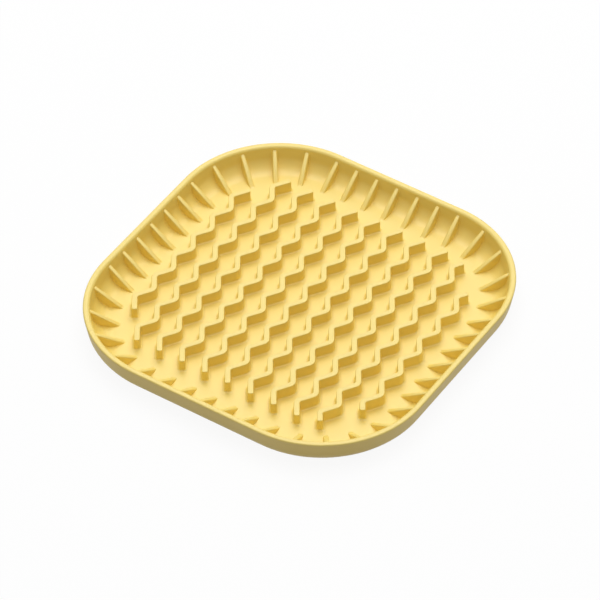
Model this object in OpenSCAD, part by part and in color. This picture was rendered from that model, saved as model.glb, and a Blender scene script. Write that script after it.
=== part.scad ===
// Square pet lick bowl: a shallow moulded dish with zigzag ribs on its floor and fins round its cove.
// X runs across the ribs, Y along them, Z up. The origin is the middle of the flat underside.

/* [Dish] */
// Outside width and depth at the rim
outer_size = 180; // [160:1:230]
// Outside corner radius at the rim
corner_r = 55; // [45:1:66]
// Overall height
height = 14; // [11.6:0.2:20]
// Thickness of the floor
floor_t = 2; // [1.4:0.1:3]
// Radius of the rounded outer bottom edge
base_edge_r = 7.5; // [4:0.5:8.5]

/* [Wall] */
// Wall thickness at the rim
wall_t = 3.2; // [2.6:0.1:4]
// Lean of the outer wall face from upright, in degrees
outer_lean = 10; // [4:1:14]
// Lean of the inner wall face from upright, in degrees
inner_lean = 12; // [6:1:20]
// Radius of the cove between wall and floor
cove_r = 8; // [6:0.5:9]
// Where the cove ring starts and ends on the cove's curve, in degrees up from the floor
cove_from = 30; // [22:1:38]
cove_to = 66; // [54:1:67]
// Height of the rim band on top of the wall
rim_h = 3.8; // [1.5:0.1:3.8]
// Rounding of the rim's inner top edge
rim_inner_r = 1.4; // [0.5:0.1:1.5]
// Rounding of the rim's outer top edge
rim_outer_r = 0.8; // [0.3:0.1:1]

/* [Zigzag ribs] */
// Number of ribs across the floor
rib_count = 11; // [5:2:11]
// Thickness of a rib
rib_t = 2.8; // [2:0.1:3.4]
// Height of a rib above the floor
rib_h = 6.1; // [3:0.1:8]
// Sideways swing of a rib's centre line from bend to bend
rib_swing = 5.5; // [4:0.1:6.6]
// Right-hand bends between the middle of a full rib and its end
full_bends = 4; // [3:1:5]
// Clear width that the outermost ribs keep from the fin tips at the sides
side_gutter = 3.5; // [2:0.1:6]
// Clear width that the ribs' ends keep from the fin tips round the corners
corner_gutter = 2.7; // [2:0.1:6]
// Clear width between the ends of the full ribs' centre lines and the fin tips
end_gutter = 5.8; // [3:0.1:10]
// How far a rib's centre line stops short of its last bend
rib_end_cut = 0.1; // [0:0.1:2]

/* [Fins] */
// Number of fins along each straight side
side_fins = 7; // [3:2:7]
// Number of fins round each corner
corner_fins = 4; // [2:1:4]
// Thickness of a fin at its upper end
fin_t = 2.2; // [1.4:0.1:2.7]
// Draft of a fin's sides, which makes it thicker toward the floor, in degrees
fin_draft = 2.5; // [0:0.5:4]
// Drop from the rim's top to the upper end of a fin
fin_drop = 2; // [1.8:0.1:4]
// Distance from the outside to the tip of a fin on the floor
fin_reach = 18; // [15:0.5:20]

/* [Hidden] */
$fn = 96;
silicone = [0.99, 0.90, 0.58];
// Overrun of the cutting shapes past the faces that they cut
cut = 1;
// Reach of the shape that rounds a corner, in radii
waste_reach = 3;
// How far a rib's outline runs on past its last bend before its end is cut, in legs
leg_overrun = 0.3;

half = outer_size / 2;
// Distance from the middle to each corner centre, which is half of a straight side
corner_c = half - corner_r;

// Wall faces, as the distance in from the rim's outside at height z
function outer_face(z) = (height - z) * tan(outer_lean);
function inner_face(z) = wall_t + (height - z) * tan(inner_lean);
cove_z = floor_t + cove_r;
cove_d = inner_face(cove_z) + cove_r / cos(inner_lean);
cove_top = [cove_d - cove_r * cos(inner_lean), cove_z - cove_r * sin(inner_lean)];
// Heights where the cove ring stands on the foot ring, the side wall on the cove ring,
// and the rim band on the side wall
foot_z = cove_z - cove_r * cos(cove_from);
wall_z = cove_z - cove_r * cos(cove_to);
rim_z = height - rim_h;
fin_top = height - fin_drop;

// Distance along a rib between two bends on the same side
bend_pitch = (half - fin_reach - end_gutter + rib_end_cut) / full_bends;
leg_lean = atan(2 * rib_swing / bend_pitch);
// Half of a rib's thickness, measured along X
rib_half_x = rib_t / (2 * cos(leg_lean));
// Distance from the outside to the centre line of the outermost rib
rib_side_margin = fin_reach + side_gutter + rib_swing / 2 - rib_half_x + rib_t;
rib_pitch = 2 * (half - rib_side_margin) / (rib_count - 1);
// Where a rib's centre line lies when it stops, just short of a right-hand bend
end_shift = rib_swing / 2 - rib_end_cut * tan(leg_lean);

sides = ["right", "back", "left", "front"];
corners = ["back_right", "back_left", "front_left", "front_right"];
function rib_name(i) = str("zigzag_rib_", i);
function side_fin_name(k, i) = str(sides[k], "_fin_", i);
function corner_fin_name(k, i) = str(corners[k], "_corner_fin_", i);

// What rounding takes off a corner, about the rounding's centre: from and to are its faces' directions
module rounding_waste(r, from, to) {
    ends = [for (a = [from, to]) r * [cos(a), sin(a)]];
    difference() {
        polygon(concat(ends, waste_reach * [ends[1], ends[0]]));
        circle(r);
    }
}

// The sections below have the distance in from the rim's outside as x, and the height as y

// Hollow of the dish in section: leaning wall face, round cove and flat floor
module hollow_section() {
    over = height + cut;
    polygon([[inner_face(over), over], cove_top, [cove_d, cove_z], [cove_d, over]]);
    translate([cove_d, cove_z]) circle(cove_r);
    translate([cove_d, floor_t]) square([fin_reach, over - floor_t]);
}

// Takes an outer rounding off where the outer face meets a level face at the centre's side
module outer_rounding(r, z, level) {
    translate([outer_face(z) + r / cos(outer_lean), z]) rounding_waste(r, 180 + outer_lean, level);
}

module wall_section() {
    difference() {
        polygon([[outer_face(0), 0], [cove_d, 0], [cove_d, rim_z], [outer_face(rim_z), rim_z]]);
        hollow_section();
        outer_rounding(base_edge_r, base_edge_r, 270);
    }
}

// Keeps the part of a section that lies between two heights
module level_band(low, high) {
    intersection() {
        children();
        translate([-cut, low]) square([cove_d + 2 * cut, high - low]);
    }
}

module rim_section() {
    round_z = height - rim_inner_r;
    difference() {
        polygon([for (z = [rim_z, height]) [outer_face(z), z], for (z = [height, rim_z]) [cove_d, z]]);
        hollow_section();
        outer_rounding(rim_outer_r, height - rim_outer_r, 90);
        translate([inner_face(round_z) - rim_inner_r / cos(inner_lean), round_z])
            rounding_waste(rim_inner_r, inner_lean, 90);
    }
}

module fin_section() {
    intersection() {
        polygon([[inner_face(fin_top), fin_top], [fin_reach, floor_t], [inner_face(fin_top), floor_t]]);
        hollow_section();
    }
}

// Turns a section so that its x runs outward from the corner centre
module from_corner_centre() {
    translate([corner_r, 0]) mirror([1, 0]) children();
}

module along_side() {
    translate([corner_c, 0, 0]) rotate([90, 0, 0])
        linear_extrude(2 * corner_c, center = true) from_corner_centre() children();
}

module round_corner() {
    translate([corner_c, corner_c, 0]) rotate_extrude(angle = 90) from_corner_centre() children();
}

// Carries a section once round the dish
module all_round() {
    for (k = [0:3]) rotate(90 * k) {
        along_side() children();
        round_corner() children();
    }
}

module floor_panel() {
    inner_r = corner_r - cove_d;
    color(silicone) linear_extrude(floor_t) {
        square(2 * [corner_c + inner_r, corner_c], center = true);
        square(2 * [corner_c, corner_c + inner_r], center = true);
        for (x = [-1, 1], y = [-1, 1]) translate([x, y] * corner_c) circle(inner_r);
    }
}

module foot_ring() {
    color(silicone) all_round() level_band(0, foot_z) wall_section();
}

module cove_ring() {
    color(silicone) all_round() level_band(foot_z, wall_z) wall_section();
}

module side_wall() {
    color(silicone) all_round() level_band(wall_z, rim_z) wall_section();
}

module rim_band() {
    color(silicone) all_round() rim_section();
}

// Bends are numbered from the middle of a rib: even ones point right, odd ones left
function bend_side(j) = j % 2 == 0 ? 1 : -1;
function bend(j) = [bend_side(j) * rib_swing / 2, j * bend_pitch / 2];

// Centre line's points from one end to the other, where both end legs run on past bend last
function end_point(last) = bend(last) + leg_overrun * (bend(last) - bend(last - 1));
function centre_line(last) = concat(
    [[end_point(last).x, -end_point(last).y]], [for (j = [1 - last:last - 1]) bend(j)], [end_point(last)]
);
// Zigzag outline with sharp bends
function rib_outline(last) = concat(
    [for (p = centre_line(last)) p + [rib_half_x, 0]],
    [for (p = centre_line(last)) [p.x - rib_half_x, -p.y]]
);

// Rounds the outside of bend j about its sharp inner corner
module bend_waste(j) {
    facing = bend_side(j) > 0 ? 0 : 180;
    translate(bend(j) - [bend_side(j) * rib_half_x, 0])
        rounding_waste(rib_t, facing - leg_lean, facing + leg_lean);
}

function rib_x(i) = (i - (rib_count + 1) / 2) * rib_pitch;
// Right-hand bends on each half of rib i: the two outermost ribs have one less
function rib_bends(i) = i == 1 || i == rib_count ? full_bends - 1 : full_bends;
// Reach of the ribs' field at a distance x from the middle, where its corners are round
field_r = corner_r - fin_reach - corner_gutter;
function field_reach(x) =
    abs(x) < corner_c ? half : corner_c + sqrt(max(0, pow(field_r, 2) - pow(abs(x) - corner_c, 2)));
function rib_end(i) =
    min(rib_bends(i) * bend_pitch - rib_end_cut, field_reach(rib_x(i) + end_shift));

// What lies past the back end of rib i, which is cut square to its last leg
module end_waste(i) {
    short = rib_bends(i) * bend_pitch - rib_end(i);
    translate([rib_swing / 2 - short * tan(leg_lean), rib_end(i)]) rotate(-leg_lean)
        translate([-rib_pitch, 0]) square([2 * rib_pitch, bend_pitch]);
}

module zigzag_rib(i) {
    last = 2 * rib_bends(i);
    color(silicone) translate([rib_x(i), 0, floor_t]) linear_extrude(rib_h) difference() {
        polygon(rib_outline(last));
        for (j = [1 - last:last - 1]) bend_waste(j);
        end_waste(i);
        mirror([0, 1]) end_waste(i);
    }
}

// Upright slab that gives a fin its thickness, starting at the corner centre line
function fin_half_t(z) = fin_t / 2 + (fin_top - z) * tan(fin_draft);
module fin_slab() {
    rotate([90, 0, 90]) linear_extrude(corner_r)
        polygon([for (side = [-1, 1]) for (z = side < 0 ? [0, height] : [height, 0]) [side * fin_half_t(z), z]]);
}

module side_fin(k, i) {
    y = corner_c * (2 * (i - 1) / (side_fins - 1) - 1);
    color(silicone) rotate(90 * k) intersection() {
        translate([corner_c, y, 0]) fin_slab();
        union() {
            along_side() fin_section();
            round_corner() fin_section();
            mirror([0, 1, 0]) round_corner() fin_section();
        }
    }
}

module corner_fin(k, i) {
    color(silicone) rotate(90 * k) intersection() {
        translate([corner_c, corner_c, 0]) rotate(90 * i / (corner_fins + 1)) fin_slab();
        round_corner() fin_section();
    }
}

floor_panel();
foot_ring();
cove_ring();
side_wall();
rim_band();
for (i = [1:rib_count])
    zigzag_rib(i);
for (k = [0:3], i = [1:side_fins])
    side_fin(k, i);
for (k = [0:3], i = [1:corner_fins])
    corner_fin(k, i);
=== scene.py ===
import math

import bmesh
import bpy
from mathutils import Matrix, Vector


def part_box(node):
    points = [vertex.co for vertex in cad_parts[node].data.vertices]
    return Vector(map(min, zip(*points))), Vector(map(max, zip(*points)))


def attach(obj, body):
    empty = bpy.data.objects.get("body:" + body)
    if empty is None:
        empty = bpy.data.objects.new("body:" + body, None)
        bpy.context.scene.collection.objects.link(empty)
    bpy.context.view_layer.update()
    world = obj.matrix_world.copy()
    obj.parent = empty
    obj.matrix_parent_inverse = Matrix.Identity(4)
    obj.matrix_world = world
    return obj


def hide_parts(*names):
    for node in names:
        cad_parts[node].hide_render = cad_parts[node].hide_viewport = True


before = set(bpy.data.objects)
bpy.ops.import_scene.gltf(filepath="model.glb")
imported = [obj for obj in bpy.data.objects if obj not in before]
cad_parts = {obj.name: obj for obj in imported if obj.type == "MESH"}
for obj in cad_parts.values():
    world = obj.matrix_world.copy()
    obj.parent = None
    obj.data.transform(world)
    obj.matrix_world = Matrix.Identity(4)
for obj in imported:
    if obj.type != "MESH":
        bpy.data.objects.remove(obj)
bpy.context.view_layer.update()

mm = 0.001
quarter = math.pi / 2
mergeDist = 0.002 * mm  # points nearer than this become one
print("frame loaded:", len(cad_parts), "nodes")


def addObject(name, data):
    obj = bpy.data.objects.new(name, data)
    bpy.context.scene.collection.objects.link(obj)
    return obj


# Camera first, at the photograph's angle
camera = {
    "azimuth": 33.22,
    "elevation": 44.51,
    "distance": 2252.7 * mm,
    "lens": 282.7,
    "sensor": 36.0,
    "clip": (0.05, 20),
    "aim": Vector((0, 0, 3.16)) * mm,
    "slide": (-0.09 * mm, 2.46 * mm),  # right and up from the aim, to place the bowl in the frame
}


def towardCamera(azimuth, elevation):
    a, e = math.radians(azimuth), math.radians(elevation)
    return Vector((math.sin(a) * math.cos(e), -math.cos(a) * math.cos(e), math.sin(e)))


def addCamera(spec):
    data = bpy.data.cameras.new("studioCamera")
    data.sensor_width = spec["sensor"]
    data.lens = spec["lens"]
    data.clip_start, data.clip_end = spec["clip"]
    obj = addObject("studioCamera", data)
    back = towardCamera(spec["azimuth"], spec["elevation"])
    slide = back.to_track_quat("Z", "Y") @ Vector((*spec["slide"], 0))
    obj.location = spec["aim"] + back * spec["distance"]
    look = obj.location - (spec["aim"] + slide)
    obj.rotation_euler = look.to_track_quat("Z", "Y").to_euler()
    bpy.context.scene.camera = obj


addCamera(camera)
print("camera set")


# Shader maths: a wrapped socket takes + - * with numbers and other sockets
class Val:
    def __init__(self, tree, socket):
        self.tree, self.socket = tree, socket

    # inputs go by socket name, with _ for a space, or by place, as i0 for the first
    def node(self, kind, settings=None, **inputs):
        made = self.tree.nodes.new("ShaderNode" + kind)
        for name, value in (settings or {}).items():
            setattr(made, name, value)
        for name, value in inputs.items():
            key = int(name[1:]) if name[1:].isdigit() else name.replace("_", " ")
            if isinstance(value, Val):
                self.tree.links.new(value.socket, made.inputs[key])
            else:
                made.inputs[key].default_value = value
        return made

    def out(self, kind, settings=None, pick=0, **inputs):
        return Val(self.tree, self.node(kind, settings, **inputs).outputs[pick])

    def math(self, operation, a, b):
        return self.out("Math", {"operation": operation}, i0=a, i1=b)

    def __add__(self, other):
        return self.math("ADD", self, other)

    def __radd__(self, other):
        return self.math("ADD", other, self)

    def __sub__(self, other):
        return self.math("SUBTRACT", self, other)

    def __rsub__(self, other):
        return self.math("SUBTRACT", other, self)

    def __mul__(self, other):
        return self.math("MULTIPLY", self, other)

    def __rmul__(self, other):
        return self.math("MULTIPLY", other, self)


# Gives a material or world an empty node tree
def emptyTree(owner):
    owner.use_nodes = True
    owner.node_tree.nodes.clear()
    return Val(owner.node_tree, None)


# Matte moulded silicone: faint clouds and specks in its colour and gloss, a soft wave and a fine grain
silicone = {
    "colour": (0.91, 0.695, 0.152, 1),
    "paler": (0.93, 0.72, 0.172, 1),
    "roughness": 0.48,
    "roughSpread": 0.12,
    "specular": 1.0,
    "clouds": {"Scale": 45, "Detail": 3.0, "Roughness": 0.55},
    "specks": {"Scale": 405, "Detail": 4.0, "Roughness": 0.6},
    "grain": {"Scale": 1900, "Detail": 2.0, "Roughness": 0.6},
    "noiseMiddle": 0.5,
    "speckShare": 0.3,  # of the specks where they mix with the clouds or the grain
    "waveDepth": 0.05 * mm,
    "grainDepth": 0.012 * mm,
}


def siliconeMaterial(spec):
    material = bpy.data.materials.new("paleYellowSilicone")
    v = emptyTree(material)
    place = v.out("TexCoord", pick="Object")
    clouds, specks, grain = [v.out("TexNoise", pick="Fac", Vector=place, **spec[name])
                             for name in ("clouds", "specks", "grain")]
    share, middle, spread = spec["speckShare"], spec["noiseMiddle"], spec["roughSpread"]
    blotches = clouds * (1 - share) + specks * share
    tint = v.out("Mix", {"data_type": "RGBA"}, pick=2,  # its sockets 6 and 7 are the two colours
                 i0=blotches, i6=spec["colour"], i7=spec["paler"])
    rough = spec["roughness"] + (clouds - middle) * spread + (specks - middle) * spread
    wavy = v.out("Bump", Strength=1.0, Distance=spec["waveDepth"], Height=clouds)
    relief = grain * (1 - share) + specks * share
    grainy = v.out("Bump", Strength=1.0, Distance=spec["grainDepth"], Height=relief, Normal=wavy)
    skin = v.out("BsdfPrincipled", Base_Color=tint, Roughness=rough, Normal=grainy,
                 Specular_IOR_Level=spec["specular"])
    v.node("OutputMaterial", Surface=skin)
    return material


siliconeSkin = siliconeMaterial(silicone)
print("silicone mixed")


def addPiece(name, bm, nodes):
    bmesh.ops.remove_doubles(bm, verts=bm.verts, dist=mergeDist)
    bmesh.ops.recalc_face_normals(bm, faces=bm.faces)
    for face in bm.faces:
        face.smooth = True
    mesh = bpy.data.meshes.new(name)
    bm.to_mesh(mesh)
    bm.free()
    piece = addObject(name, mesh)
    piece.data.materials.append(siliconeSkin)
    even = piece.modifiers.new("evenShading", "WEIGHTED_NORMAL")
    even.keep_sharp = False
    even.weight = 100  # large faces stay flat, and the rounded edges between them take the bend
    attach(piece, "root")
    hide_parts(*nodes)


def polyline(bm, points):
    verts = [bm.verts.new(p) for p in points]
    return verts, [bm.edges.new(pair) for pair in zip(verts, verts[1:])]


def roundVert(bm, vert, size, segments):
    bmesh.ops.bevel(bm, geom=[vert], affect="VERTICES", offset_type="OFFSET", offset=size,
                    segments=segments, profile=0.5, material=-1)


def roundEdges(bm, edges, size, segments):
    bmesh.ops.bevel(bm, geom=edges, affect="EDGES", offset_type="OFFSET", offset=size,
                    segments=segments, profile=0.5, material=-1, clamp_overlap=False)


def newVerts(made):
    return [g for g in made if isinstance(g, bmesh.types.BMVert)]


def newEdges(made):
    return [g for g in made if isinstance(g, bmesh.types.BMEdge)]


def newFaces(made):
    return [g for g in made if isinstance(g, bmesh.types.BMFace)]


# Dish: one wall section carried round the four sides and corners, floor and underside filled in
dish = {
    "half": 90 * mm,  # at the rim, before its edge is rounded
    "cornerR": 55 * mm,
    "cornerSteps": 28,
    "wallThick": 3.2 * mm,
    "outerLean": math.radians(10),
    "innerLean": math.radians(12),
    "coveR": 8 * mm,
    "coveSteps": 14,
    "baseEdgeR": 7.5 * mm,
    "baseEdgeSteps": 10,
    "rimOuterR": 0.8 * mm,
    "rimOuterSteps": 4,
    "rimInnerR": 1.0 * mm,
    "rimInnerSteps": 6,
    "floorStrip": 3 * mm,  # flat floor beyond the cove that belongs to the wall section
}
half, height = dish["half"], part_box("rim_band")[1].z
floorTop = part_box("floor_panel")[1].z
cornerC = half - dish["cornerR"]


# How far in the inner wall stands at a height
def wallFace(z):
    return dish["wallThick"] + (height - z) * math.tan(dish["innerLean"])


# Bevel size that gives this radius where an outline turns by this angle
def tangentLength(radius, turn):
    return radius * math.tan(turn / 2)


coveSize = tangentLength(dish["coveR"], quarter - dish["innerLean"])


def makeDish(spec):
    bm = bmesh.new()
    lean = height * math.tan(spec["outerLean"])
    reach = wallFace(floorTop) + coveSize + spec["floorStrip"]
    # section as (distance in, height): underside, outer wall, inner wall, floor
    section = [(reach, 0), (lean, 0), (0, height), (wallFace(height), height),
               (wallFace(floorTop), floorTop), (reach, floorTop)]
    verts, _ = polyline(bm, [(half - d, -cornerC, z) for d, z in section])
    baseTurn = quarter - spec["outerLean"]
    rimTurn = quarter + spec["innerLean"]
    roundVert(bm, verts[1], tangentLength(spec["baseEdgeR"], baseTurn), spec["baseEdgeSteps"])
    roundVert(bm, verts[2], tangentLength(spec["rimOuterR"], math.pi - baseTurn), spec["rimOuterSteps"])
    roundVert(bm, verts[3], tangentLength(spec["rimInnerR"], rimTurn), spec["rimInnerSteps"])
    roundVert(bm, verts[4], coveSize, spec["coveSteps"])
    edges = list(bm.edges)
    for k in range(4):
        turn = Matrix.Rotation(quarter * k, 3, "Z")
        made = bmesh.ops.extrude_edge_only(bm, edges=edges)["geom"]
        bmesh.ops.translate(bm, vec=turn @ Vector((0, 2 * cornerC, 0)), verts=newVerts(made))
        made = bmesh.ops.spin(bm, geom=newVerts(made) + newEdges(made), axis=(0, 0, 1), angle=quarter,
                              cent=turn @ Vector((cornerC, cornerC, 0)), steps=spec["cornerSteps"])
        edges = newEdges(made["geom_last"])
    bmesh.ops.remove_doubles(bm, verts=bm.verts, dist=mergeDist)
    bmesh.ops.edgeloop_fill(bm, edges=[e for e in bm.edges if e.is_boundary])
    addPiece("dishShell", bm, ["floor_panel", "foot_ring", "cove_ring", "side_wall", "rim_band"])


makeDish(dish)
print("dish made")


# Zigzag ribs: a strip swept leg by leg and bend by bend, then raised, with drafted sides and soft edges
rib = {
    "count": 11,
    "thick": 2.8 * mm,  # at the top
    "draft": math.radians(1.0),
    "swing": 5.5 * mm,
    "bendPitch": 16.575 * mm,
    "innerBend": 1.2 * mm,
    "bendSteps": 8,
    "endRound": 0.7 * mm,
    "endSteps": 5,
    "foot": 1.0 * mm,  # strip at the floor that the fillet takes up
    "footFillet": 0.9,  # of that strip
    "footSteps": 3,
    "sunk": 0.4 * mm,  # the foot goes this far into the floor
    "proud": 0.015 * mm,  # and stands this far above it
    "topEdge": 0.4 * mm,
    "topSteps": 3,
}
legLean = math.atan(2 * rib["swing"] / rib["bendPitch"])


# Edges round a patch of faces
def rimOf(faces):
    inside = set(faces)
    return [e for f in faces for e in f.edges if sum(g in inside for g in e.link_faces) == 1]


def sweepZigzag(bm, spec, wide, middle, z, bends):
    leg = spec["bendPitch"] / 2 / math.cos(legLean)
    bendR = spec["innerBend"] + spec["thick"] / 2  # of the centre line
    trim = bendR * math.tan(legLean)

    # bends are counted from the rib's middle, even ones point right, and both end legs run on straight
    side = [1 if j % 2 == 0 else -1 for j in range(-bends, bends + 1)]
    heading = Matrix.Rotation(side[0] * legLean, 3, "Z")
    start = Vector((middle + side[0] * spec["swing"] / 2, -bends * spec["bendPitch"] / 2, z))
    start -= heading @ Vector((0, trim, 0))
    across = heading @ Vector((wide / 2, 0, 0))
    edges = polyline(bm, [start - across, start + across])[1]
    legs = len(side) - 1
    for n, far in enumerate(side[1:], 1):
        heading = Matrix.Rotation(-far * legLean, 3, "Z")
        made = bmesh.ops.extrude_edge_only(bm, edges=edges)["geom"]
        ends = newVerts(made)
        run = leg if n in (1, legs) else leg - 2 * trim
        bmesh.ops.translate(bm, vec=heading @ Vector((0, run, 0)), verts=ends)
        if n < legs:
            centre = sum((v.co for v in ends), Vector()) / 2 - heading @ Vector((far * bendR, 0, 0))
            edges = [e for e in newEdges(made) if all(v in ends for v in e.verts)]
            made = bmesh.ops.spin(bm, geom=edges + ends, cent=centre, axis=(0, 0, far),
                                  angle=2 * legLean, steps=spec["bendSteps"])["geom_last"]
            edges = newEdges(made)
    bmesh.ops.remove_doubles(bm, verts=bm.verts, dist=mergeDist)


# Cuts both ends of the strip square to their legs and rounds the corners
def trimEnds(bm, end, past, roundR, segments):
    for side in (1, -1):
        ahead = Vector((math.sin(legLean), side * math.cos(legLean), 0))
        cutAt = Vector((end.x, side * end.y, 0)) + ahead * past
        cut = bmesh.ops.bisect_plane(bm, geom=list(bm.verts) + list(bm.edges) + list(bm.faces),
                                     plane_co=cutAt, plane_no=ahead, clear_outer=True)
        for corner in newVerts(cut["geom_cut"]):
            roundVert(bm, corner, roundR, segments)


def makeRib(i, spec):
    node = f"zigzag_rib_{i}"
    low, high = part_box(node)
    tall = high.z - floorTop
    slant = tall * math.tan(spec["draft"])
    spread = spec["foot"] + slant
    middle = (low.x + high.x) / 2
    endY = high.y - spec["thick"] / 2 * math.sin(legLean)  # of the centre line
    bends = math.ceil(endY * 2 / spec["bendPitch"])
    endX = middle + spec["swing"] / 2 - (bends * spec["bendPitch"] / 2 - endY) * math.tan(legLean)
    bm = bmesh.new()
    sweepZigzag(bm, spec, spec["thick"] + 2 * spread, middle, floorTop - spec["sunk"], bends)
    trimEnds(bm, Vector((endX, endY, 0)), spread, spec["endRound"] + spread, spec["endSteps"])
    raised = bmesh.ops.extrude_face_region(bm, geom=list(bm.faces))["geom"]
    bmesh.ops.translate(bm, vec=(0, 0, spec["sunk"] + spec["proud"]), verts=newVerts(raised))
    top = newFaces(raised)
    bmesh.ops.inset_region(bm, faces=top, thickness=spec["foot"], use_even_offset=True)
    footEdges = rimOf(top)
    bmesh.ops.inset_region(bm, faces=top, thickness=slant, use_even_offset=True)
    topVerts = list({v for f in top for v in f.verts})
    bmesh.ops.translate(bm, vec=(0, 0, tall - spec["proud"]), verts=topVerts)
    roundEdges(bm, rimOf(top), spec["topEdge"], spec["topSteps"])
    footEdges = [e for e in footEdges if e.is_valid]
    roundEdges(bm, footEdges, spec["foot"] * spec["footFillet"], spec["footSteps"])
    addPiece(f"zigzagRib_{i}", bm, [node])


for i in range(1, rib["count"] + 1):
    makeRib(i, rib)
print("ribs made")


# Fins: slanted blades from the wall to the floor, thicker below, sunk a little into the cove
fin = {
    "perSide": 7,
    "perCorner": 4,
    "thick": 2.2 * mm,  # at the upper end
    "draft": math.radians(1.5),
    "sunk": 1.1 * mm,  # into the wall, the cove and the floor
    "topEdge": 0.55 * mm,
    "topSteps": 3,
    "sharpFrom": 1.0,  # radians, and an edge that turns by more is a sharp one
    "tipBlend": 0.9 * mm,  # where the crest runs out on the floor
    "tipRound": 0.9,  # of the run-out
    "tipSteps": 6,
    "tipDip": 0.03 * mm,
}
sideNames = ["right", "back", "left", "front"]
cornerNames = [("back", "right"), ("back", "left"), ("front", "left"), ("front", "right")]


def makeFin(name, node, top, tip, place, spec):
    bm = bmesh.new()
    sunk, blend, thick = spec["sunk"], spec["tipBlend"], spec["thick"]
    slope = (top - floorTop) / (tip - wallFace(top))

    # blade from the side: wall end, tip, run-out on the floor, then back along the cove under the skin
    outline = [(wallFace(top) - sunk, top + sunk * slope), (tip - blend / 2, floorTop),
               (tip + blend, floorTop - spec["tipDip"]), (tip + blend, floorTop - sunk),
               (wallFace(floorTop) - sunk, floorTop - sunk)]
    corners = [bm.verts.new((-d, -thick / 2, z)) for d, z in outline]
    bm.faces.new(corners)
    roundVert(bm, corners[1], blend * spec["tipRound"], spec["tipSteps"])
    roundVert(bm, corners[4], coveSize, dish["coveSteps"])
    made = bmesh.ops.extrude_face_region(bm, geom=list(bm.faces))["geom"]
    far = newVerts(made)
    near = [v for v in bm.verts if v not in far]
    bmesh.ops.translate(bm, vec=(0, thick, 0), verts=far)

    # both sides lean out below the upper end
    upper = Matrix.Translation((0, 0, top))
    for side, verts in ((1, far), (-1, near)):
        lean = Matrix.Identity(4)
        lean[1][2] = -side * math.tan(spec["draft"])
        bmesh.ops.transform(bm, matrix=upper @ lean @ upper.inverted(), verts=verts)
    lowest = floorTop - 2 * spec["tipDip"]
    crest = [e for e in bm.edges if e.calc_face_angle(0) > spec["sharpFrom"]
             and abs(e.verts[0].co.y - e.verts[1].co.y) < thick / 2
             and all(v.co.z > lowest for v in e.verts)]
    roundEdges(bm, crest, spec["topEdge"], spec["topSteps"])
    bmesh.ops.transform(bm, matrix=place, verts=bm.verts)
    addPiece(name, bm, [node])


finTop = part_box("right_fin_4")[1].z
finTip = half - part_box("right_fin_4")[0].x
for k in range(4):
    turn = Matrix.Rotation(quarter * k, 4, "Z")
    for i in range(1, fin["perSide"] + 1):
        along = cornerC * (2 * (i - 1) / (fin["perSide"] - 1) - 1)
        place = turn @ Matrix.Translation((half, along, 0))
        makeFin(f"{sideNames[k]}Fin_{i}", f"{sideNames[k]}_fin_{i}", finTop, finTip, place, fin)
    end, side = cornerNames[k]
    middle = turn @ Matrix.Translation((cornerC, cornerC, 0))
    for i in range(1, fin["perCorner"] + 1):
        swing = Matrix.Rotation(quarter * i / (fin["perCorner"] + 1), 4, "Z")
        place = middle @ swing @ Matrix.Translation((dish["cornerR"], 0, 0))
        name = f"{end}{side.title()}CornerFin_{i}"
        makeFin(name, f"{end}_{side}_corner_fin_{i}", finTop, finTip, place, fin)
print("fins made")


# Studio: white floor and air, a soft lamp overhead, a panel behind and a little light all round
studio = {
    "floorSize": 8.0,
    "floorColour": (0.46, 0.42, 0.42, 1),  # for the light that it throws back
    "white": (1, 1, 1, 1),
    "whiteShare": 0.92,  # of the floor's look that the lamps don't change
    "lampSize": 1.4,
    "lampPower": 14.9,
    "lampPlace": Vector((-0.14, 0.36, 1.55)),
    "panelSize": 1.4,
    "panelPower": 7.2,
    "panelPlace": Vector((-0.56, 0.86, 1.23)),
    "ambient": 0.27,
}


# 1 for the rays that show the background, straight, mirrored or through a piece
def seenRays(v):
    rays = [Val(v.tree, out) for out in v.node("LightPath").outputs
            if out.name in ("Is Camera Ray", "Is Glossy Ray", "Is Transmission Ray")]
    return v.math("MAXIMUM", rays[0], v.math("MAXIMUM", rays[1], rays[2]))


def addFloor(spec):
    bm = bmesh.new()
    bmesh.ops.create_grid(bm, x_segments=1, y_segments=1, size=spec["floorSize"] / 2)
    mesh = bpy.data.meshes.new("studioFloor")
    bm.to_mesh(mesh)
    bm.free()
    floor = addObject("studioFloor", mesh)
    paper = bpy.data.materials.new("whitePaper")
    v = emptyTree(paper)
    warmGrey = v.out("BsdfDiffuse", Color=spec["floorColour"])
    shadowed = v.out("BsdfDiffuse", Color=spec["white"])
    glowing = v.out("Emission", Color=spec["white"], Strength=1.0)
    backdrop = v.out("MixShader", i0=spec["whiteShare"], i1=shadowed, i2=glowing)
    v.node("OutputMaterial", Surface=v.out("MixShader", i0=seenRays(v), i1=warmGrey, i2=backdrop))
    floor.data.materials.append(paper)


def addLamp(name, spec):
    data = bpy.data.lights.new(name, "AREA")
    data.shape = "SQUARE"
    data.size = spec[name + "Size"]
    data.energy = spec[name + "Power"]
    lamp = addObject(name, data)
    lamp.location = spec[name + "Place"]
    lamp.rotation_euler = lamp.location.to_track_quat("Z", "Y").to_euler()  # shines at the origin


def addAir(spec):
    world = bpy.data.worlds.new("studioAir")
    bpy.context.scene.world = world
    v = emptyTree(world)
    air = v.out("Background", Color=spec["white"], Strength=spec["ambient"])
    backdrop = v.out("Background", Color=spec["white"], Strength=1.0)
    v.node("OutputWorld", Surface=v.out("MixShader", i0=seenRays(v), i1=air, i2=backdrop))


addFloor(studio)
for name in ("lamp", "panel"):
    addLamp(name, studio)
addAir(studio)
bpy.context.scene.view_settings.view_transform = "Standard"
print("studio lit")
